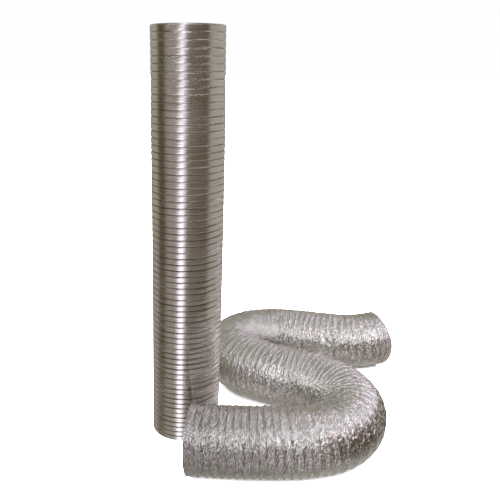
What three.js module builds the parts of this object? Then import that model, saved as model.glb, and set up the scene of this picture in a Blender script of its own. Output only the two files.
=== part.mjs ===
// Two flexible air ducts of the same bore, as they are sold and stored together.
// The upright one is semi-rigid: a corrugated aluminium strip wound into a tube.
// The one on the floor is a foil duct: a steel wire helix between two plies of foil, laid in an S.
// Units are millimetres, +Z is up and the floor is z = 0.
import * as THREE from 'three';

// ---- Driving dimensions ----
const DUCT_RADIUS = 52; // outside radius of both ducts
const GAP = 0.6; // clear space at a seam between two lengths of wall

// Upright duct
const UPRIGHT_HEIGHT = 619;
const UPRIGHT_FOOT = new THREE.Vector2(-162, -51); // middle of its lower end
const UPRIGHT_WALL = 2.6; // depth of the corrugated strip
const UPRIGHT_SIDES = 24;
const TOP_LEAN = 23; // how far the top stands over towards +X
const LEAN_BOW = 1.5; // how far the middle bows past the straight line
const RIBS = 68; // corrugations from end to end
const BASE_RIBS = 12;
const MIDDLE_RIBS = 5; // in each of the lengths between the seams
const MIDDLE_LENGTHS = 9;

// Foil duct
const FOIL_SIDES = 12;
const PLY = 0.7; // thickness of each ply of foil
const WIRE_DEPTH = 2.4; // from the outside of the duct to the middle of the wire
const INNER_DEPTH = 4.1; // from the outside of the duct to the outside of the inner ply
const WIRE_RADIUS = 0.8;
const WIRE_SIDES = 3;
const WIRE_PITCH = 10.5; // from one turn of the helix to the next
const WIRE_CLEAR = 1.75; // the wire stops this short of a seam
const END_LENGTH = 35; // each of the lengths that move at both ends
const END_LENGTHS = 4; // how many there are at each end
const MIDDLE_FOIL_LENGTHS = 8; // the lengths that the fixed S between them is made of
const MIDDLE_STEPS = 7; // flat facets along each length in the S
const END_STEPS = 3; // flat facets along each length at the ends
const STEP_ANGLE = (2 * Math.PI) / FOIL_SIDES;

// The way the foil duct lies on the floor, seen from above, from its near end to its far end.
const FOIL_ROUTE = [
  [-141, -173],
  [-100, -178],
  [-49, -181],
  [13, -180],
  [67, -166],
  [94, -140],
  [104, -97],
  [89, -54],
  [47, -14],
  [-3, 9],
  [-43, 35],
  [-76, 67],
  [-90, 108],
  [-82, 143],
  [-57, 169],
  [-13, 181],
  [42, 173],
  [96, 157],
  [129, 152],
  [161, 153],
  [198, 165],
];

// ---- Materials ----
const stripMetal = { color: 0xb8b4aa, roughness: 0.32, metalness: 1 };
const outerFoil = { color: 0xc4c1bd, roughness: 0.28, metalness: 1 };
const innerFoil = { color: 0xaeaaa2, roughness: 0.35, metalness: 1 };
const springSteel = { color: 0x8e8a84, roughness: 0.4, metalness: 1 };

function named(name, geometry, finish) {
  const mesh = new THREE.Mesh(geometry, new THREE.MeshStandardMaterial(finish));
  mesh.name = name;
  return mesh;
}

// ---- Upright duct ----
// How far the duct's middle has moved towards +X at a height.
function leanAt(z) {
  const t = z / UPRIGHT_HEIGHT;
  return TOP_LEAN * t + 4 * LEAN_BOW * t * (1 - t);
}

// One length of the strip's wall, standing on z = 0, with its corrugations as one thick wall.
function wallGeometry(height) {
  const inner = DUCT_RADIUS - UPRIGHT_WALL;
  const outline = [
    new THREE.Vector2(inner, 0),
    new THREE.Vector2(DUCT_RADIUS, 0),
    new THREE.Vector2(DUCT_RADIUS, height),
    new THREE.Vector2(inner, height),
    new THREE.Vector2(inner, 0),
  ];
  const geometry = new THREE.LatheGeometry(outline, UPRIGHT_SIDES);
  return geometry.rotateX(Math.PI / 2); // the lathe turns about Y
}

// The lengths of wall from the base up, each a whole number of corrugations.
function uprightLengths() {
  const topRibs = RIBS - BASE_RIBS - MIDDLE_LENGTHS * MIDDLE_RIBS;
  const lengths = [{ name: 'strip_wall_base', ribs: BASE_RIBS }];
  for (let i = 1; i <= MIDDLE_LENGTHS; i += 1) {
    lengths.push({ name: `strip_wall_${i}`, ribs: MIDDLE_RIBS });
  }
  lengths.push({ name: 'strip_wall_top', ribs: topRibs });
  return lengths;
}

function uprightDuct() {
  const duct = new THREE.Group();
  const ribHeight = UPRIGHT_HEIGHT / RIBS;
  let low = 0;
  for (const { name, ribs } of uprightLengths()) {
    const high = low + ribs * ribHeight;
    const bottom = low === 0 ? 0 : low + GAP / 2;
    const top = name === 'strip_wall_top' ? UPRIGHT_HEIGHT : high - GAP / 2;
    const wall = named(name, wallGeometry(top - bottom), stripMetal);
    wall.position.set(UPRIGHT_FOOT.x + leanAt((low + high) / 2), UPRIGHT_FOOT.y, bottom);
    duct.add(wall);
    low = high;
  }
  return duct;
}

// ---- Foil duct ----
const route = new THREE.CatmullRomCurve3(
  FOIL_ROUTE.map(([x, y]) => new THREE.Vector3(x, y, DUCT_RADIUS)),
);
route.arcLengthDivisions = 2000;
const ROUTE_LENGTH = route.getLength();

// The stretch of the route between two distances along it.
class Stretch extends THREE.Curve {
  constructor(from, to) {
    super();
    this.from = from;
    this.to = to;
  }

  getPoint(t, target = new THREE.Vector3()) {
    const along = this.from + (this.to - this.from) * t;
    return route.getPointAt(along / ROUTE_LENGTH, target);
  }
}

// The wire's line between two distances along the route. Its corners lie on the plies' corners.
class Helix extends THREE.Curve {
  constructor(from, to) {
    super();
    this.from = from;
    this.to = to;
    this.radius = (DUCT_RADIUS - WIRE_DEPTH) / Math.cos(STEP_ANGLE / 2);
  }

  getPoint(t, target = new THREE.Vector3()) {
    const along = this.from + (this.to - this.from) * t;
    const turn = (2 * Math.PI * along) / WIRE_PITCH + STEP_ANGLE / 2;
    const ahead = route.getTangentAt(along / ROUTE_LENGTH);
    const side = new THREE.Vector3(-ahead.y, ahead.x, 0);
    route.getPointAt(along / ROUTE_LENGTH, target);
    target.addScaledVector(side, this.radius * Math.sin(turn));
    target.z += this.radius * Math.cos(turn);
    return target;
  }

  // Equal steps along the curve are equal turns of the helix.
  getPointAt(t, target) {
    return this.getPoint(t, target);
  }

  getTangentAt(t, target) {
    return this.getTangent(t, target);
  }
}

// A regular outline whose flat sides are this far from its middle, with a flat side underneath.
function polygonPoints(sides, flatRadius) {
  const radius = flatRadius / Math.cos(Math.PI / sides);
  const points = [];
  for (let i = 0; i < sides; i += 1) {
    const angle = ((i + 0.5) * 2 * Math.PI) / sides;
    points.push(new THREE.Vector2(radius * Math.cos(angle), radius * Math.sin(angle)));
  }
  return points;
}

function plyGeometry(from, to, outside, steps) {
  const section = new THREE.Shape(polygonPoints(FOIL_SIDES, outside));
  section.holes.push(new THREE.Path(polygonPoints(FOIL_SIDES, outside - PLY)));
  const extrudePath = new Stretch(from, to);
  return new THREE.ExtrudeGeometry(section, { steps, extrudePath });
}

function wireGeometry(from, to) {
  const section = new THREE.Shape(polygonPoints(WIRE_SIDES, WIRE_RADIUS / 2));
  const stepLength = WIRE_PITCH / FOIL_SIDES;
  const first = Math.ceil((from + WIRE_CLEAR) / stepLength);
  const last = Math.floor((to - WIRE_CLEAR) / stepLength);
  const extrudePath = new Helix(first * stepLength, last * stepLength);
  return new THREE.ExtrudeGeometry(section, { steps: last - first, extrudePath });
}

// Both plies between two seams, which keep their clear space.
function addPlies(duct, part, from, to, steps) {
  const start = from === 0 ? 0 : from + GAP / 2;
  const end = to === ROUTE_LENGTH ? ROUTE_LENGTH : to - GAP / 2;
  const outer = plyGeometry(start, end, DUCT_RADIUS, steps);
  const inner = plyGeometry(start, end, DUCT_RADIUS - INNER_DEPTH, steps);
  duct.add(named(`outer_foil_${part}`, outer, outerFoil));
  duct.add(named(`inner_foil_${part}`, inner, innerFoil));
}

function addWire(duct, part, from, to) {
  duct.add(named(`wire_${part}`, wireGeometry(from, to), springSteel));
}

// The lengths that move at one end: number 1 joins the S and the last one is the open end.
function addEnd(duct, end) {
  for (let i = 0; i < END_LENGTHS; i += 1) {
    const part = i === 0 ? `${end}_end` : `${end}_${END_LENGTHS - i}`;
    const near = [i * END_LENGTH, (i + 1) * END_LENGTH];
    const far = [ROUTE_LENGTH - near[1], ROUTE_LENGTH - near[0]];
    const [from, to] = end === 'near' ? near : far;
    addPlies(duct, part, from, to, END_STEPS);
    addWire(duct, part, from, to);
  }
}

function addMiddle(duct) {
  const start = END_LENGTHS * END_LENGTH;
  const end = ROUTE_LENGTH - start;
  const each = (end - start) / MIDDLE_FOIL_LENGTHS;
  for (let i = 0; i < MIDDLE_FOIL_LENGTHS; i += 1) {
    addPlies(duct, `middle_${i + 1}`, start + i * each, start + (i + 1) * each, MIDDLE_STEPS);
  }
  addWire(duct, 'middle', start, end);
}

function foilDuct() {
  const duct = new THREE.Group();
  addEnd(duct, 'near');
  addMiddle(duct);
  addEnd(duct, 'far');
  return duct;
}

const group = new THREE.Group();
group.add(uprightDuct(), foilDuct());

export default group;
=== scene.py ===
import math

import bpy
import numpy as np
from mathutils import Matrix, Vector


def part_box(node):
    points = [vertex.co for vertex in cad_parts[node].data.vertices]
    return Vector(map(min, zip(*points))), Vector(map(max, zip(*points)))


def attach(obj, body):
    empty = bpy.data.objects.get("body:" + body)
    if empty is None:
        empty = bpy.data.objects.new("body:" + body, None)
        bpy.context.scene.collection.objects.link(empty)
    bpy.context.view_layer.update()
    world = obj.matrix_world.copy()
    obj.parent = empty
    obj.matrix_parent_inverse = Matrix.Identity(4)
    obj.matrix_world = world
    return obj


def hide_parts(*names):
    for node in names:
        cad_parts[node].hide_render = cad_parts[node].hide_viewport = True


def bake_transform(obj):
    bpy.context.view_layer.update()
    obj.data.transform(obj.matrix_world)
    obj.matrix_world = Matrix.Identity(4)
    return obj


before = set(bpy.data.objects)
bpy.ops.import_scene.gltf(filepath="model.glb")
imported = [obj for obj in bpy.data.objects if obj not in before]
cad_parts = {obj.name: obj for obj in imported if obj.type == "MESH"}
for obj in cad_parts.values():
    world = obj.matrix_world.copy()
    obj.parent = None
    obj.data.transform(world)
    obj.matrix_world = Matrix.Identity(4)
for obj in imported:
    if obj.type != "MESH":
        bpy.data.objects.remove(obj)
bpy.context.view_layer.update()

# Two flexible air ducts: an upright one of corrugated aluminium strip, and a foil one laid in an S.
# Lengths are in metres. A turn round a duct goes from 0 to 1.
MM = 0.001

# ---- Camera ----
CAMERA_PLACE = (-0.055, -0.9202, 0.5661)
CAMERA_TILT = 72.92  # degrees up from looking straight down
CAMERA_LENS = 43.17  # mm, on a 36 mm sensor

DUCT_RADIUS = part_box("outer_foil_middle_4")[1][2] / 2  # its top is a whole duct above the floor

# ---- Upright duct ----
UPRIGHT_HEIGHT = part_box("strip_wall_top")[1][2]
FOOT = (-0.162, -0.051)  # middle of its lower end
TOP_LEAN = 23 * MM  # how far the top stands over towards +X
LEAN_BOW = 1.5 * MM  # how far the middle bows past the straight line
RIBS = 68
RIB_GROWTH = 0.0034  # each rib is this share taller than the one under it
BASE_RIBS = 11  # below the first bend
BEND_RIBS = 5
BENDS = 10
STRIP = 0.3 * MM  # its thickness
UPRIGHT_AROUND = 144  # points in a ring
SWELL = 1.7 * MM  # how far the other ribs stand out past those at the top
SWELL_ENDS = (0.78, 0.96)  # the heights where the ribs start and stop getting narrower, as shares
GROOVE_UNEVENNESS = 0.2  # the share by which the depth of the grooves varies
DENT = 0.05 * MM  # the average dent
# One rib from its groove up, at the foot and at the top: height as a share of the rib, and depth
# below the outside.
CLOSED_RIB = [
    (0.00, 1.90 * MM),
    (0.07, 1.65 * MM),
    (0.13, 0.95 * MM),
    (0.18, 0.28 * MM),
    (0.28, 0.12 * MM),
    (0.38, 0.06 * MM),
    (0.45, 0.16 * MM),
    (0.50, 0.26 * MM),
    (0.55, 0.14 * MM),
    (0.62, 0.03 * MM),
    (0.71, 0.00 * MM),
    (0.80, 0.04 * MM),
    (0.87, 0.11 * MM),
    (0.91, 0.90 * MM),
    (0.96, 1.60 * MM),
]
OPENED_RIB = [
    (0.00, 1.05 * MM),
    (0.04, 0.95 * MM),
    (0.07, 0.70 * MM),
    (0.10, 0.42 * MM),
    (0.20, 0.24 * MM),
    (0.32, 0.08 * MM),
    (0.42, 0.08 * MM),
    (0.50, 0.15 * MM),
    (0.57, 0.07 * MM),
    (0.65, 0.00 * MM),
    (0.74, 0.03 * MM),
    (0.84, 0.13 * MM),
    (0.94, 0.25 * MM),
    (0.97, 0.70 * MM),
    (0.99, 1.00 * MM),
]

# ---- Foil duct ----
PLEATS = 88  # pitches of the wire's helix from rim to rim
STEPS_PER_TURN = 12  # rings to each pitch
FOIL_RINGS = PLEATS * STEPS_PER_TURN
PLAIN_STEP = 6  # rings between those of a plain skin
FOIL_AROUND = 116  # points in a ring
VALLEY_DEPTH = 2.3 * MM  # how far the foil sinks between the turns of the wire
CREASE_DEPTH = 1.6 * MM
# The shares of those depths along the duct, by the share of its length from the near rim.
VALLEYS_ALONG = [(0, 1.0), (0.25, 0.9), (0.45, 0.5), (0.65, 0.5), (0.85, 0.8)]
CREASES_ALONG = [(0, 1.0), (0.4, 1.0), (1, 0.7)]
PLEAT_POWER = 0.55  # below 1 it makes the ridges over the wire sharp and the valleys round
LEAST_ROOM = 0.12  # the least wall inside a bend, for each length of the route
ROOM_POWER = 0.7  # below 1 it lets the pleats shrink less than the wall does inside a bend
LEAST_CUFF_DEPTH = 0.15  # the share of their depth that the pleats and creases keep at a rim
LEAST_DEPTH = 0.02 * MM
THINNEST_PLY = 0.3 * MM  # the outer ply under the deepest crease
CUFF = 14 * MM  # the foil past the last turn at each rim, where the pleats flatten
RIM_REACH = 60 * MM  # how far from the far rim its droop starts
RIM_BULGE = 1.5 * MM  # how far its sides stand ahead
RIM_DROOP = 10 * MM  # how far its top and underside fall back from its sides
OUTER_PLY = 4.1 * MM  # from the outside to the underside of the outer ply
OUTER_PLY_AT_RIM = 0.8 * MM
WIRE_DEPTH = 4.8 * MM  # from the outside to the middle of the wire
WIRE_RADIUS = 0.6 * MM
INNER_DEPTH = 5.5 * MM  # from the outside to the outside of the inner ply
INNER_DEPTH_AT_RIM = 1.1 * MM
INNER_PLY = 0.3 * MM  # its thickness
INNER_FOLD = 0.6 * MM  # its folds are once to twice as deep
INNER_CREASE = 0.4 * MM
WIRE_STEPS_PER_TURN = 48
WIRE_AROUND = 8  # points in a ring
# The rings where the pieces of the near end meet, from its rim. The far end mirrors them.
END_RINGS = [0, 18, 60, 102, 138, 168]

# The way it lies on the floor, seen from above, from its near end to its far end.
FOIL_ROUTE = [
    (-0.141, -0.173),
    (-0.100, -0.178),
    (-0.049, -0.181),
    (0.013, -0.180),
    (0.067, -0.166),
    (0.094, -0.140),
    (0.104, -0.097),
    (0.089, -0.054),
    (0.047, -0.014),
    (-0.003, 0.009),
    (-0.043, 0.035),
    (-0.076, 0.067),
    (-0.090, 0.108),
    (-0.082, 0.143),
    (-0.057, 0.169),
    (-0.013, 0.181),
    (0.042, 0.173),
    (0.096, 0.157),
    (0.129, 0.152),
    (0.161, 0.153),
    (0.198, 0.165),
]


def add_camera():
    data = bpy.data.cameras.new("camera")
    data.sensor_width = 36
    data.lens = CAMERA_LENS
    camera = bpy.data.objects.new("camera", data)
    camera.location = CAMERA_PLACE
    camera.rotation_euler = (math.radians(CAMERA_TILT), 0, 0)
    bpy.context.collection.objects.link(camera)
    bpy.context.scene.camera = camera


# ---- Route of the foil duct ----
class Route:
    """A centripetal Catmull-Rom curve, measured along its length."""

    def __init__(self, corners, steps=400):
        corners = np.array(corners)
        before = 2 * corners[0] - corners[1]
        after = 2 * corners[-1] - corners[-2]
        padded = np.vstack([before, corners, after])
        spans = [self.span(padded[i : i + 4], steps) for i in range(len(corners) - 1)]
        self.points = np.vstack([*spans, corners[-1:]])
        lengths = np.linalg.norm(np.diff(self.points, axis=0), axis=1)
        self.along = np.concatenate([[0], np.cumsum(lengths)])
        self.length = self.along[-1]

    @staticmethod
    def span(corners, steps):
        """The curve between the two middle ones of four corners."""
        p0, p1, p2, p3 = corners
        d0, d1, d2 = (math.sqrt(np.linalg.norm(b - a)) for a, b in zip(corners, corners[1:]))
        out = ((p1 - p0) / d0 - (p2 - p0) / (d0 + d1) + (p2 - p1) / d1) * d1
        into = ((p2 - p1) / d1 - (p3 - p1) / (d1 + d2) + (p3 - p2) / d2) * d1
        t = np.linspace(0, 1, steps, endpoint=False)[:, None]
        square = -3 * p1 + 3 * p2 - 2 * out - into
        cube = 2 * p1 - 2 * p2 + out + into
        return p1 + out * t + square * t**2 + cube * t**3

    def place(self, along):
        """Points at distances along the route."""
        return np.stack([np.interp(along, self.along, self.points[:, k]) for k in (0, 1)], axis=1)

    def ahead(self, along, reach=2 * MM):
        """Directions of the route there, as unit vectors."""
        step = self.place(np.minimum(along + reach, self.length))
        step = step - self.place(np.maximum(along - reach, 0))
        return step / np.linalg.norm(step, axis=1)[:, None]


route = Route(FOIL_ROUTE)
RING_STEP = route.length / FOIL_RINGS


# ---- Random surfaces ----
def random_cells(u, v, columns, seed, soft=False, rows=2048):
    """Random heights from -1 to 1 in a grid of cells, as flat facets or soft swells. u counts cells
    along the duct, and v is a turn round it, which this many columns fill."""
    values = np.random.default_rng(seed).uniform(-1, 1, (rows, columns))
    v = v * columns
    low_u, low_v = np.floor(u).astype(int), np.floor(v).astype(int)
    share_u, share_v = u - low_u, v - low_v

    def corner(i, k):
        return values[(low_u + i) % len(values), (low_v + k) % columns]

    if soft:
        share_u, share_v = (s * s * (3 - 2 * s) for s in (share_u, share_v))
        below = corner(0, 0) + (corner(0, 1) - corner(0, 0)) * share_v
        above = corner(1, 0) + (corner(1, 1) - corner(1, 0)) * share_v
        return below + (above - below) * share_u
    near = corner(0, 0) + share_u * (corner(1, 0) - corner(0, 0))
    near = near + share_v * (corner(0, 1) - corner(0, 0))
    far = corner(1, 1) + (1 - share_u) * (corner(0, 1) - corner(1, 1))
    far = far + (1 - share_v) * (corner(1, 0) - corner(1, 1))
    return np.where(share_u + share_v > 1, far, near)


# ---- Meshes ----
class Skin:
    """A grid of rings round a duct: its points, and where they would be if the duct ran straight."""

    def __init__(self, middles, sides, ups, along, radii, swell=0.0, shift=0.0):
        """sides and ups are two directions across the duct at each ring. swell moves the points
        outward and shift moves them ahead, and the straight places don't follow either."""
        turns = np.arange(radii.shape[1]) / radii.shape[1]
        cos, sin = np.cos(2 * np.pi * turns), np.sin(2 * np.pi * turns)
        across = sides[:, None] * cos[None, :, None] + ups[:, None] * sin[None, :, None]
        ahead = np.cross(sides, ups)
        shift = np.broadcast_to(shift, radii.shape)
        self.points = middles[:, None] + across * (radii + swell)[:, :, None]
        self.points = self.points + ahead[:, None] * shift[:, :, None]
        along = np.broadcast_to(along[:, None], radii.shape)
        self.straight = np.stack([along, radii * cos, radii * sin], axis=2)


def ring_faces(first, second):
    """Faces between two closed rings of point numbers."""
    return np.stack([first, np.roll(first, -1), np.roll(second, -1), second], axis=1)


def closed_tube(name, outside, inside):
    """A tube with a wall, from its outer and its inner skin."""
    out = np.arange(outside.points[..., 0].size).reshape(outside.points.shape[:2])
    within = np.arange(inside.points[..., 0].size).reshape(inside.points.shape[:2]) + out.size
    faces = [ring_faces(a, b) for a, b in zip(out, out[1:])]
    faces += [ring_faces(b, a) for a, b in zip(within, within[1:])]
    faces += [ring_faces(within[0], out[0]), ring_faces(out[-1], within[-1])]
    points = np.vstack([outside.points.reshape(-1, 3), inside.points.reshape(-1, 3)])
    straight = np.vstack([outside.straight.reshape(-1, 3), inside.straight.reshape(-1, 3)])
    return add_mesh(name, points, np.vstack(faces), straight)


def closed_rod(name, points, straight):
    """A rod from its rings, with the faces of each end round a point in its middle."""
    rings = np.arange(points[..., 0].size).reshape(points.shape[:2])
    faces = [ring_faces(a, b) for a, b in zip(rings, rings[1:])]
    ends = [points[0].mean(axis=0), points[-1].mean(axis=0)]
    straight_ends = [straight[0].mean(axis=0), straight[-1].mean(axis=0)]
    hubs = (rings.size, rings.size + 1)
    for ring, hub in zip((np.roll(rings[0][::-1], 1), rings[-1]), hubs):
        for i in range(0, len(ring), 2):
            corners = [ring[i], ring[(i + 1) % len(ring)], ring[(i + 2) % len(ring)], hub]
            faces.append(np.array([corners]))
    points = np.vstack([points.reshape(-1, 3), *ends])
    straight = np.vstack([straight.reshape(-1, 3), *straight_ends])
    return add_mesh(name, points, np.vstack(faces), straight)


def add_mesh(name, points, faces, straight, sharp_from=28):
    """A mesh of four-sided faces, smooth over edges of fewer degrees than sharp_from. Its "straight"
    attribute says where each point would be if it all ran straight along X, for its material."""
    mesh = bpy.data.meshes.new(name)
    mesh.vertices.add(len(points))
    mesh.vertices.foreach_set("co", points.astype(np.float32).ravel())
    mesh.loops.add(faces.size)
    mesh.loops.foreach_set("vertex_index", faces.astype(np.int32).ravel())
    mesh.polygons.add(len(faces))
    mesh.polygons.foreach_set("loop_start", np.arange(0, faces.size, 4, dtype=np.int32))
    mesh.polygons.foreach_set("use_smooth", np.ones(len(faces), bool))
    mesh.update(calc_edges=True)
    mesh.set_sharp_from_angle(angle=math.radians(sharp_from))
    attribute = mesh.attributes.new("straight", "FLOAT_VECTOR", "POINT")
    attribute.data.foreach_set("vector", straight.astype(np.float32).ravel())
    piece = bpy.data.objects.new(name, mesh)
    bpy.context.collection.objects.link(piece)
    return piece


# ---- Upright duct ----
def lean_at(height):
    """How far the duct's middle has moved towards +X at a height."""
    t = height / UPRIGHT_HEIGHT
    return TOP_LEAN * t + 4 * LEAN_BOW * t * (1 - t)


def rib_height(number):
    """Where a rib starts. The lower ribs are closer together, under the duct's own weight."""
    return UPRIGHT_HEIGHT * np.expm1(RIB_GROWTH * number) / math.expm1(RIB_GROWTH * RIBS)


def swell_at(height):
    """How far the ribs stand out at a height. They get narrower over the top fifth."""
    low, high = SWELL_ENDS
    t = np.clip((height / UPRIGHT_HEIGHT - low) / (high - low), 0, 1)
    return SWELL * (1 - t * t * (3 - 2 * t))


def rib_outline(rib, step):
    """Points on ribs: their heights in ribs, and their depths. The ribs open from the foot up."""
    opened = (rib_height(rib) / UPRIGHT_HEIGHT)[:, None]
    outline = np.array(CLOSED_RIB)[step] * (1 - opened) + np.array(OPENED_RIB)[step] * opened
    return rib + outline[:, 0], outline[:, 1:]


def upright_skin(first_rib, last_rib, depth):
    """The corrugated strip between two of its grooves, this far inside its own outline."""
    steps = len(CLOSED_RIB)
    number = np.arange(first_rib * steps, last_rib * steps + 1)
    place, sunk = rib_outline(number // steps, number % steps)
    heights = rib_height(place)
    turns = np.arange(UPRIGHT_AROUND) / UPRIGHT_AROUND
    u, v = np.meshgrid(number / steps, turns, indexing="ij")
    groove = 1 + GROOVE_UNEVENNESS * random_cells(u, v, 7, seed=3, soft=True)
    dents = DENT * (1 + random_cells(u * 2, v, 16, seed=4, soft=True))
    radii = DUCT_RADIUS - depth - sunk * groove - dents
    middles = np.column_stack(
        [FOOT[0] + lean_at(heights), np.full(len(heights), FOOT[1]), heights]
    )
    sides = np.tile([1.0, 0.0, 0.0], (len(heights), 1))
    ups = np.tile([0.0, 1.0, 0.0], (len(heights), 1))
    return Skin(middles, sides, ups, heights, radii, swell=swell_at(heights)[:, None])


def upright_piece(name, first_rib, last_rib):
    outside = upright_skin(first_rib, last_rib, 0)
    inside = upright_skin(first_rib, last_rib, STRIP)
    piece = closed_tube(name, outside, inside)
    piece.data.materials.append(strip_metal)
    return piece


def upright_duct():
    low = BASE_RIBS
    base = upright_piece("strip_wall_foot", 0, low)
    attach(base, "upright_base")
    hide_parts("strip_wall_base")
    for i in range(BENDS):
        high = low + BEND_RIBS
        bend = upright_piece(f"strip_wall_bend_{i + 1}", low, high)
        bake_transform(bend)
        if i + 1 < BENDS:
            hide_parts(f"strip_wall_{i + 1}")
        low = high
    top = upright_piece("strip_wall_head", low, RIBS)
    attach(top, "upright_top")
    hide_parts("strip_wall_top")


# ---- Foil duct ----
def foil_ring_frames(rings):
    """Middles, and directions to the left and up, at ring numbers along the route."""
    along = np.asarray(rings) * RING_STEP
    place, ahead = route.place(along), route.ahead(along)
    middles = np.column_stack([place, np.full(len(place), DUCT_RADIUS)])
    sides = np.column_stack([-ahead[:, 1], ahead[:, 0], np.zeros(len(place))])
    ups = np.tile([0.0, 0.0, 1.0], (len(place), 1))
    return middles, sides, ups, along


def stretch_at(rings, turns, reach=6 * MM):
    """The wall for each length of the route, at ring numbers and turns round the duct."""
    along = rings * RING_STEP
    before, after = (route.ahead(np.clip(along + d, 0, route.length)) for d in (-reach, reach))
    turning = (before[:, 0] * after[:, 1] - before[:, 1] * after[:, 0]) / (2 * reach)
    return 1 - turning[:, None] * DUCT_RADIUS * np.cos(2 * np.pi * turns)[None, :]


def pleat_at(u, v):
    """Pleats between the turns of the wire, from 0 over the wire to 1 in the valleys."""
    wander = 0.10 * random_cells(u * 1.3, v, 15, seed=14, soft=True)
    return np.abs(np.sin(np.pi * (u - v + wander))) ** PLEAT_POWER


def creases_at(u, v):
    """Creases of two sizes that run askew across the pleats, from 0 to 1."""
    sway = 0.35 * np.sin(2 * np.pi * v * 3)
    coarse = random_cells(u * 2.1 + sway, v, 28, seed=11)
    fine = random_cells(u * 3.9 - sway, v, 46, seed=12)
    return 0.5 + 0.5 * (0.35 * coarse + 0.65 * fine)


def share_along(along, stops):
    """A share that changes along the foil duct, from stops by the share of its length."""
    return np.interp(along / route.length, *zip(*stops))[:, None]


def foil_depth(rings, turns):
    """How far the outer ply sinks below the outside of the duct."""
    u, v = np.meshgrid(rings / STEPS_PER_TURN, turns, indexing="ij")
    along = rings * RING_STEP
    room = np.clip(stretch_at(rings, turns), LEAST_ROOM, 1)
    pleat = pleat_at(u, v)
    creases = creases_at(u, v)
    uneven = 0.75 + 0.25 * random_cells(u / 3, v, 7, seed=13, soft=True)
    valley = VALLEY_DEPTH * share_along(along, VALLEYS_ALONG)
    depth = valley * uneven * pleat * room**ROOM_POWER
    crumple = CREASE_DEPTH * share_along(along, CREASES_ALONG)
    depth = depth + crumple * creases * (0.2 + 0.8 * pleat) * room
    from_rim = np.minimum(along, route.length - along)[:, None] / CUFF
    depth = depth * np.clip(from_rim, LEAST_CUFF_DEPTH, 1)
    return np.clip(depth, LEAST_DEPTH, OUTER_PLY - THINNEST_PLY)


def thin_at_rim(rings, depth, rim_depth):
    """A depth that falls to another one at the rims of the duct, where the plies come together."""
    along = rings * RING_STEP
    share = np.clip(np.minimum(along, route.length - along) / CUFF, 0, 1)
    return (rim_depth + (depth - rim_depth) * share)[:, None]


def rim_droop(rings, turns):
    """How far the soft far rim stands ahead of its ring: it falls back at the top and underneath."""
    from_rim = (FOIL_RINGS - rings) * RING_STEP / RIM_REACH
    share = np.clip(1 - from_rim, 0, 1) ** 2
    return share[:, None] * (RIM_BULGE - RIM_DROOP * np.sin(2 * np.pi * turns) ** 2)[None, :]


def outer_foil(name, first, last):
    """The outer ply between two rings, pleated and creased outside and plain underneath."""
    turns = np.arange(FOIL_AROUND) / FOIL_AROUND
    rings = np.arange(first, last + 1)
    radii = DUCT_RADIUS - foil_depth(rings, turns)
    outside = Skin(*foil_ring_frames(rings), radii, shift=rim_droop(rings, turns))
    few = np.arange(first, last + 1, PLAIN_STEP)
    plain = DUCT_RADIUS - thin_at_rim(few, OUTER_PLY, OUTER_PLY_AT_RIM) + 0 * turns
    inside = Skin(*foil_ring_frames(few), plain, shift=rim_droop(few, turns))
    return closed_tube(name, outside, inside)


def inner_foil(name, first, last):
    """The inner ply between two rings, plain towards the wire and folded towards the air."""
    turns = 2 * np.arange(FOIL_AROUND // 2) / FOIL_AROUND
    few = np.arange(first, last + 1, PLAIN_STEP)
    plain = DUCT_RADIUS - thin_at_rim(few, INNER_DEPTH, INNER_DEPTH_AT_RIM) + 0 * turns
    outside = Skin(*foil_ring_frames(few), plain, shift=rim_droop(few, turns))
    rings = np.arange(first, last + 1)
    u, v = np.meshgrid(rings / STEPS_PER_TURN, turns, indexing="ij")
    pleat = 0.5 + 0.5 * np.cos(2 * np.pi * (u - v))
    creases = random_cells(u * 2.2, v, 26, seed=21)
    folds = INNER_FOLD * (1 + pleat) + INNER_CREASE * creases
    depth = thin_at_rim(rings, INNER_DEPTH, INNER_DEPTH_AT_RIM)
    radii = DUCT_RADIUS - depth - INNER_PLY - folds * depth / INNER_DEPTH
    inside = Skin(*foil_ring_frames(rings), radii, shift=rim_droop(rings, turns))
    return closed_tube(name, outside, inside)


def spring_wire(name, first, last):
    """The wire between two rings, as a helix between the plies."""
    clear = round(CUFF / RING_STEP)  # the wire stops short of the cuff at each rim
    first = max(first, clear)
    last = min(last, FOIL_RINGS - clear)
    steps = round((last - first) / STEPS_PER_TURN * WIRE_STEPS_PER_TURN)
    rings = np.linspace(first, last, steps + 1)
    middles, sides, ups, along = foil_ring_frames(rings)
    turn = 2 * np.pi * rings / STEPS_PER_TURN
    out = sides * np.cos(turn)[:, None] + ups * np.sin(turn)[:, None]
    ahead = np.cross(sides, ups)
    radius = DUCT_RADIUS - WIRE_DEPTH
    droop = np.diagonal(rim_droop(rings, rings / STEPS_PER_TURN))
    line = middles + out * radius + ahead * droop[:, None]
    angle = 2 * np.pi * np.arange(WIRE_AROUND) / WIRE_AROUND
    cos, sin = np.cos(angle), np.sin(angle)
    across = out[:, None] * cos[None, :, None] - ahead[:, None] * sin[None, :, None]
    points = line[:, None] + across * WIRE_RADIUS
    straight = np.column_stack([turn * radius, 0 * turn, 0 * turn])
    own = np.column_stack([0 * angle, WIRE_RADIUS * cos, WIRE_RADIUS * sin])
    return closed_rod(name, points, straight[:, None] + own[None])


def bend_across(piece):
    """Bakes a piece's place into its mesh, so that it rides on no body."""
    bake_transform(piece)


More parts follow.
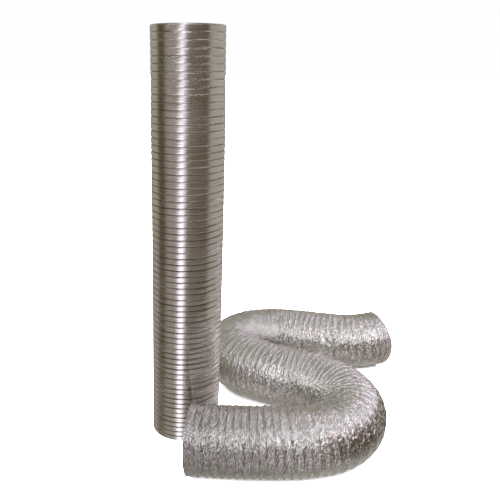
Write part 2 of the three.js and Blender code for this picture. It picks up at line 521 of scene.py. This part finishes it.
def end_pieces(layer, end):
    """The pieces of one layer at one end: the rim rides on its body, and the others stay where they
    lie.
    """
    kind, make, material, slot = layer
    bodies = [f"foil_{end}_end", f"foil_{end}_3", f"foil_{end}_2", f"foil_{end}_1", "foil_middle"]
    parts = ["rim", "stretch", "bend_3", "bend_2", "bend_1"]
    nodes = [f"{end}_end", f"{end}_3", f"{end}_2", f"{end}_1", None]
    for i, (part, node) in enumerate(zip(parts, nodes)):
        first, last = END_RINGS[i], END_RINGS[i + 1]
        if end == "far":
            first, last = FOIL_RINGS - last, FOIL_RINGS - first
        piece = make(f"{kind}_{end}_{part}", first, last)
        piece.data.materials.append(material)
        if node:
            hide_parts(f"{kind}_{node}")
        if i == 0:
            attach(piece, bodies[0])
            continue
        bend_across(piece)


def middle_piece(layer):
    """The S of one layer, which rides on its body."""
    kind, make, material, slot = layer
    piece = make(f"{kind}_s", END_RINGS[-1], FOIL_RINGS - END_RINGS[-1])
    piece.data.materials.append(material)
    nodes = [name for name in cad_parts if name.startswith(f"{kind}_middle")]
    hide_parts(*nodes)
    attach(piece, "foil_middle")
    return piece


def foil_duct():
    layers = [
        ("outer_foil", outer_foil, outer_metal, "outer_foil"),
        ("wire", spring_wire, wire_metal, "spring_wire"),
        ("inner_foil", inner_foil, inner_metal, "inner_foil"),
    ]
    for layer in layers:
        for end in ("near", "far"):
            end_pieces(layer, end)
    skin, wire, lining = (middle_piece(layer) for layer in layers)


# ---- Materials ----
# Noise scales along and across a straightened duct, and the noise where one tint fades to the next.
CLOUD_SCALE = (35.0, 35.0, 35.0)
STREAK_SHARE = 0.6  # of streaks and clouds together
TONE_EDGE = (0.35, 0.65)
ROUGHNESS_EDGE = (0.3, 0.7)
PATCH_SCALE = (60.0, 60.0, 60.0)
PATCH_EDGE = (0.42, 0.58)
PATCH_TINTS = [(0.98, 1.00, 0.955, 1), (1.00, 0.985, 0.975, 1)]
FLECK_SCALE = (400.0, 200.0, 200.0)
FLECK_EDGE = (0.32, 0.56)
# The foil darkens towards its near rim: two distances along it, and its shade at both.
NEAR_SHADE = (-0.02, 0.24, 0.64, 0.90)
# A painted shade outside the near bend, standing in for the dark reflections there: its tint, where it
# fades in and out along the foil, where it fades in towards the outside of the bend, and where its
# lower and upper edges fade.
SHADE_PATCH_TINT = (0.40, 0.34, 0.29)
SHADE_PATCH_STARTS = (0.16, 0.21)
SHADE_PATCH_ENDS = (0.27, 0.32)
SHADE_PATCH_SIDE = (-0.50 * DUCT_RADIUS, -0.85 * DUCT_RADIUS)
SHADE_PATCH_BOTTOM = (-0.25 * DUCT_RADIUS, 0.15 * DUCT_RADIUS)
SHADE_PATCH_TOP = (0.85 * DUCT_RADIUS, 0.55 * DUCT_RADIUS)
# The strip fades to a painted groove shade between these distances from the duct's middle.
GROOVE_SHADE_EDGE = (DUCT_RADIUS - 0.25 * MM, DUCT_RADIUS - 1.25 * MM)


class Nodes:
    """Adds nodes to a node tree. An input is given as a number, a colour, or an output to link."""

    def __init__(self, tree):
        self.tree = tree
        tree.nodes.clear()

    def add(self, kind, inputs=(), **settings):
        node = self.tree.nodes.new(kind)
        for name, value in settings.items():
            setattr(node, name, value)
        for key, value in dict(inputs).items():
            if isinstance(value, bpy.types.NodeSocket):
                self.tree.links.new(value, node.inputs[key])
            else:
                node.inputs[key].default_value = value
        return node

    def math(self, operation, *values):
        return self.add("ShaderNodeMath", dict(enumerate(values)), operation=operation).outputs[0]

    def range(self, value, low, high, to_low=0.0, to_high=1.0):
        """A value that goes smoothly from to_low to to_high as another goes from low to high."""
        inputs = {0: value, 1: low, 2: high, 3: to_low, 4: to_high}
        return self.add("ShaderNodeMapRange", inputs, interpolation_type="SMOOTHSTEP").outputs[0]

    def mix(self, share, first, second):
        inputs = {0: share, 6: first, 7: second}
        return self.add("ShaderNodeMix", inputs, data_type="RGBA").outputs[2]

    def scale(self, colour, factor):
        inputs = {0: colour, "Scale": factor}
        return self.add("ShaderNodeVectorMath", inputs, operation="SCALE").outputs[0]

    def plus(self, first, second):
        return self.add("ShaderNodeVectorMath", {0: first, 1: second}, operation="ADD").outputs[0]

    def times(self, first, second):
        return self.add("ShaderNodeVectorMath", {0: first, 1: second}, operation="MULTIPLY").outputs[0]

    def noise(self, place, scale, detail=3.0):
        """Noise with a scale for each direction of a place."""
        scaled = self.add("ShaderNodeMapping", {"Vector": place, "Scale": scale}).outputs[0]
        inputs = {"Vector": scaled, "Scale": 1.0, "Detail": detail}
        return self.add("ShaderNodeTexNoise", inputs).outputs[0]


def painted_shade_patch(nodes, place):
    """The share of painted shade: a patch outside the near bend that stands in for dark reflections,
    broken up into flecks.
    """
    along, side, up = nodes.add("ShaderNodeSeparateXYZ", {0: place}).outputs
    starts, ends = nodes.range(along, *SHADE_PATCH_STARTS), nodes.range(along, *SHADE_PATCH_ENDS)
    shade_share = nodes.math("SUBTRACT", starts, ends)
    for across, edge in ((side, SHADE_PATCH_SIDE), (up, SHADE_PATCH_TOP), (up, SHADE_PATCH_BOTTOM)):
        shade_share = nodes.math("MULTIPLY", shade_share, nodes.range(across, *edge))
    flecks = nodes.noise(place, FLECK_SCALE, detail=1.0)
    return nodes.math("MULTIPLY", shade_share, nodes.range(flecks, *FLECK_EDGE))


def foil_tint_and_shade(nodes, place):
    """Patches of two tints, darker towards the near rim, with painted shade outside the near bend."""
    patches = nodes.range(nodes.noise(place, PATCH_SCALE), *PATCH_EDGE)
    tint = nodes.mix(patches, *PATCH_TINTS)
    along = nodes.add("ShaderNodeSeparateXYZ", {0: place}).outputs[0]
    tint = nodes.scale(tint, nodes.range(along, *NEAR_SHADE))
    return nodes.mix(painted_shade_patch(nodes, place), tint, nodes.times(tint, SHADE_PATCH_TINT))


def painted_groove_shade(nodes, place, colour, groove):
    """A colour that turns into a painted groove shade below the outside of the duct."""
    across = nodes.times(place, (0, 1, 1))
    radius = nodes.add("ShaderNodeVectorMath", {0: across}, operation="LENGTH").outputs["Value"]
    return nodes.mix(nodes.range(radius, *GROOVE_SHADE_EDGE), colour, groove)


def fine_bumps(nodes, place, bumps):
    """The direction of a surface with bumps on it, from the scale and the height of each kind."""
    bump = None
    for scale, distance in bumps:
        inputs = {"Strength": 1.0, "Distance": distance, "Height": nodes.noise(place, scale)}
        if bump:
            inputs["Normal"] = bump
        bump = nodes.add("ShaderNodeBump", inputs).outputs[0]
    return bump


def sheet_metal(name, light, dark, roughness, streaks, bumps, groove=None, tint=None):
    """Bare rolled metal: its colour and roughness vary in streaks and clouds, and it has fine bumps. A
    groove colour paints shade into the grooves, and a tint can carry painted shade.
    """
    material = bpy.data.materials.new(name)
    material.use_nodes = True
    nodes = Nodes(material.node_tree)
    place = nodes.add("ShaderNodeAttribute", attribute_name="straight").outputs["Vector"]
    streak = nodes.noise(place, streaks)
    cloud = nodes.math("MULTIPLY", nodes.noise(place, CLOUD_SCALE, detail=4.0), 1 - STREAK_SHARE)
    both = nodes.math("MULTIPLY_ADD", streak, STREAK_SHARE, cloud)
    colour = nodes.mix(nodes.range(both, *TONE_EDGE), dark, light)
    # The tint can carry painted shade, as the foil's does outside its near bend.
    if tint:
        colour = nodes.times(colour, tint(nodes, place))
    # The groove colour is painted shade in the grooves, where the strip's own folds would shadow it.
    if groove:
        colour = painted_groove_shade(nodes, place, colour, groove)
    inputs = {
        "Base Color": colour,
        "Metallic": 1.0,
        "Roughness": nodes.range(both, *ROUGHNESS_EDGE, *roughness),
        "Normal": fine_bumps(nodes, place, bumps),
    }
    shader = nodes.add("ShaderNodeBsdfPrincipled", inputs)
    nodes.add("ShaderNodeOutputMaterial", {"Surface": shader.outputs[0]})
    return material


strip_metal = sheet_metal(
    "bare_aluminium_strip",
    light=(0.84, 0.82, 0.79, 1),
    dark=(0.72, 0.70, 0.66, 1),
    roughness=(0.16, 0.27),
    streaks=(900.0, 8.0, 8.0),
    bumps=[((1500.0, 6.0, 6.0), 0.14 * MM), ((200.0, 25.0, 25.0), 0.06 * MM)],
    # painted shade in the grooves of the strip
    groove=(0.47, 0.43, 0.39, 1),
)
outer_metal = sheet_metal(
    "crinkled_foil",
    light=(0.95, 0.945, 0.935, 1),
    dark=(0.80, 0.79, 0.775, 1),
    roughness=(0.04, 0.11),
    streaks=(300.0, 60.0, 60.0),
    bumps=[((1000.0, 500.0, 500.0), 0.40 * MM), ((420.0, 140.0, 140.0), 3.6 * MM)],
    # the tint includes painted shade outside the near bend
    tint=foil_tint_and_shade,
)
inner_metal = sheet_metal(
    "inner_foil_metal",
    light=(0.74, 0.72, 0.69, 1),
    dark=(0.60, 0.58, 0.55, 1),
    roughness=(0.22, 0.38),
    streaks=(300.0, 60.0, 60.0),
    bumps=[((1400.0, 300.0, 300.0), 0.30 * MM)],
)
wire_metal = sheet_metal(
    "drawn_spring_wire",
    light=(0.50, 0.48, 0.46, 1),
    dark=(0.36, 0.35, 0.33, 1),
    roughness=(0.28, 0.45),
    streaks=(40.0, 4000.0, 4000.0),
    bumps=[((40.0, 5000.0, 5000.0), 0.03 * MM)],
)


# ---- Studio ----
# The metals mirror a room that is given by direction. Each list goes round it, in degrees from the
# front towards +X, with display colours. A height is the upward part of a direction, from -1 straight
# down to 1 straight up, and each pair of heights is where one list fades to the next.
WALLS = [
    (-180, (146, 139, 124)),
    (-108, (164, 159, 147)),
    (-92, (86, 72, 52)),
    (-75, (80, 66, 48)),
    (-61, (152, 144, 135)),
    (-33, (150, 143, 135)),
    (-23, (130, 123, 116)),
    (4, (122, 115, 105)),
    (20, (114, 104, 89)),
    (56, (98, 88, 75)),
    (66, (88, 75, 63)),
    (79, (168, 161, 153)),
    (120, (172, 167, 159)),
    (150, (174, 169, 162)),
    (180, (146, 139, 124)),
]
WALLS_BRIGHTEN = (0.06, 0.17, 1.0, 1.6)  # two heights, and how bright the walls are at both
# What the floor shows round the ducts.
FLOOR = [
    (-180, (170, 166, 160)),
    (-120, (150, 145, 136)),
    (-104, (124, 115, 102)),
    (-88, (126, 117, 104)),
    (-70, (158, 152, 144)),
    (-33, (148, 142, 134)),
    (-3, (122, 115, 108)),
    (60, (124, 118, 111)),
    (100, (152, 147, 141)),
    (150, (196, 193, 188)),
    (180, (170, 166, 160)),
]
FLOOR_TO_WALLS = (-0.60, -0.36)
# The dim walls between the tops of the lower ones and the ceiling.
HIGH_WALLS = [
    (-180, (160, 155, 147)),
    (-90, (100, 92, 80)),
    (-60, (80, 74, 70)),
    (40, (78, 72, 68)),
    (100, (78, 68, 54)),
    (150, (118, 111, 101)),
    (180, (160, 155, 147)),
]
WALLS_TO_HIGH = (0.16, 0.24)
# The edge of the ceiling, where it slopes to meet the walls.
CEILING_EDGE = [
    (-180, (152, 149, 142)),
    (-75, (158, 156, 150)),
    (0, (164, 162, 157)),
    (60, (184, 180, 177)),
    (130, (184, 179, 178)),
    (160, (160, 157, 151)),
    (180, (152, 149, 142)),
]
HIGH_TO_EDGE = (0.42, 0.52)
CEILING = (177, 174, 168)
EDGE_TO_CEILING = (0.70, 0.84)
# The light of three soft boxes, by degrees, and the heights where their bottoms and tops fade: a
# tall one in front, a long one high up from the left to the right, and one above that on the right.
TALL_BOX = [
    (-27, (0.00, 0.00, 0.00)),
    (-21, (0.15, 0.12, 0.22)),
    (-15, (1.95, 1.87, 2.12)),
    (-8, (1.95, 1.87, 2.12)),
    (-2, (0.15, 0.12, 0.22)),
    (4, (0.00, 0.00, 0.00)),
]
TALL_BOX_HEIGHTS = [(-0.95, -0.85), (0.85, 0.95)]
TALL_BOX_LEAN = 14  # degrees towards +X for each 1 of height
TALL_BOX_DIMS = (-0.50, 0.00, 1.25, 0.64)  # two heights, and how bright it is at both
LONG_BOX = [
    (-110, (0.00, 0.00, 0.00)),
    (-90, (2.00, 1.97, 2.02)),
    (-45, (6.20, 6.20, 6.35)),
    (-8, (8.00, 7.90, 8.30)),
    (10, (5.80, 5.75, 6.00)),
    (40, (5.60, 5.50, 5.85)),
    (80, (5.40, 4.80, 6.10)),
    (135, (4.70, 4.10, 5.20)),
    (160, (0.00, 0.00, 0.00)),
]
LONG_BOX_HEIGHTS = [(0.46, 0.49), (0.53, 0.56)]
SIDE_BOX = [
    (30, (0.00, 0.00, 0.00)),
    (60, (0.50, 0.45, 0.54)),
    (100, (0.90, 0.77, 1.04)),
    (140, (0.90, 0.77, 1.04)),
    (160, (0.00, 0.00, 0.00)),
]
SIDE_BOX_HEIGHTS = [(0.54, 0.58), (0.64, 0.70)]

SUN_STRENGTH = 30
SUN_SPREAD = 70  # degrees
SUN_TURN = (20, -12, 0)  # degrees from straight down
FLOOR_REACH = 40.0  # from the ducts to each edge of the floor
FLOOR_GREYS = [(0.90, 0.90, 0.90, 1), (0.94, 0.94, 0.94, 1)]
FLOOR_SCALE = (60.0, 60.0, 60.0)


def linear(display):
    """A display colour from 0 to 255, as the light it stands for."""
    return (*((value / 255) ** 2.2 for value in display), 1)


def ramp(nodes, turns, stops):
    """Colours by direction round the studio."""
    node = nodes.add("ShaderNodeValToRGB", {"Fac": turns})
    elements = node.color_ramp.elements
    while len(elements) < len(stops):
        elements.new(0.5)
    for element, (degrees, colour) in zip(elements, stops):
        element.position = degrees / 360 + 0.5
        element.color = colour
    return node.outputs[0]


def room_colour(nodes, turns, height):
    """The floor, walls and ceiling of the room, by direction."""

    def around(stops):
        return ramp(nodes, turns, [(degrees, linear(colour)) for degrees, colour in stops])

    walls = nodes.scale(around(WALLS), nodes.range(height, *WALLS_BRIGHTEN))
    upper = nodes.mix(nodes.range(height, *WALLS_TO_HIGH), walls, around(HIGH_WALLS))
    upper = nodes.mix(nodes.range(height, *HIGH_TO_EDGE), upper, around(CEILING_EDGE))
    upper = nodes.mix(nodes.range(height, *EDGE_TO_CEILING), upper, linear(CEILING))
    return nodes.mix(nodes.range(height, *FLOOR_TO_WALLS), around(FLOOR), upper)


def soft_box(nodes, turns, height, stops, heights):
    """The light of a soft box. It fades in over the heights of its bottom and out over its top's."""
    light = ramp(nodes, turns, [(degrees, (*colour, 1)) for degrees, colour in stops])
    bottom, top = heights
    share = nodes.math("SUBTRACT", nodes.range(height, *bottom), nodes.range(height, *top))
    return nodes.scale(light, share)


def box_light(nodes, turns, height):
    """The light of the three soft boxes together, by direction."""
    leaned = nodes.math("MULTIPLY_ADD", height, -TALL_BOX_LEAN / 360, turns)
    tall = soft_box(nodes, leaned, height, TALL_BOX, TALL_BOX_HEIGHTS)
    tall = nodes.scale(tall, nodes.range(height, *TALL_BOX_DIMS))
    long = soft_box(nodes, turns, height, LONG_BOX, LONG_BOX_HEIGHTS)
    side = soft_box(nodes, turns, height, SIDE_BOX, SIDE_BOX_HEIGHTS)
    return nodes.plus(nodes.plus(tall, long), side)


def add_world():
    """The room that the metals mirror. The camera sees white instead."""
    world = bpy.data.worlds.new("studio")
    world.use_nodes = True
    bpy.context.scene.world = world
    nodes = Nodes(world.node_tree)
    direction = nodes.add("ShaderNodeTexCoord").outputs["Generated"]
    right, back, height = nodes.add("ShaderNodeSeparateXYZ", {0: direction}).outputs
    angle = nodes.math("ARCTAN2", right, nodes.math("MULTIPLY", back, -1.0))
    turns = nodes.math("MULTIPLY_ADD", angle, 1 / (2 * math.pi), 0.5)
    both = nodes.plus(room_colour(nodes, turns, height), box_light(nodes, turns, height))
    seen = nodes.add("ShaderNodeLightPath").outputs["Is Camera Ray"]
    colour = nodes.mix(seen, both, (1, 1, 1, 1))
    background = nodes.add("ShaderNodeBackground", {"Color": colour, "Strength": 1.0})
    nodes.add("ShaderNodeOutputWorld", {"Surface": background.outputs[0]})


def add_light():
    """Soft light from above for the floor. The bare metal doesn't mirror it."""
    data = bpy.data.lights.new("light_above", "SUN")
    data.energy = SUN_STRENGTH
    data.angle = math.radians(SUN_SPREAD)
    light = bpy.data.objects.new("light_above", data)
    light.rotation_euler = [math.radians(degrees) for degrees in SUN_TURN]
    light.visible_glossy = False
    bpy.context.collection.objects.link(light)


def add_floor():
    reach = FLOOR_REACH
    corners = [(-reach, -reach, 0), (reach, -reach, 0), (reach, reach, 0), (-reach, reach, 0)]
    mesh = bpy.data.meshes.new("floor")
    mesh.from_pydata(corners, [], [(0, 1, 2, 3)])
    floor = bpy.data.objects.new("floor", mesh)
    material = bpy.data.materials.new("pale_floor")
    material.use_nodes = True
    nodes = Nodes(material.node_tree)
    place = nodes.add("ShaderNodeNewGeometry").outputs["Position"]
    speckle = nodes.noise(place, FLOOR_SCALE)
    colour = nodes.mix(speckle, *FLOOR_GREYS)
    shader = nodes.add("ShaderNodeBsdfDiffuse", {"Color": colour})
    nodes.add("ShaderNodeOutputMaterial", {"Surface": shader.outputs[0]})
    floor.data.materials.append(material)
    floor.visible_glossy = False
    bpy.context.collection.objects.link(floor)


add_camera()
foil_duct()
upright_duct()
add_world()
add_light()
add_floor()
bpy.context.scene.view_settings.view_transform = "Standard"
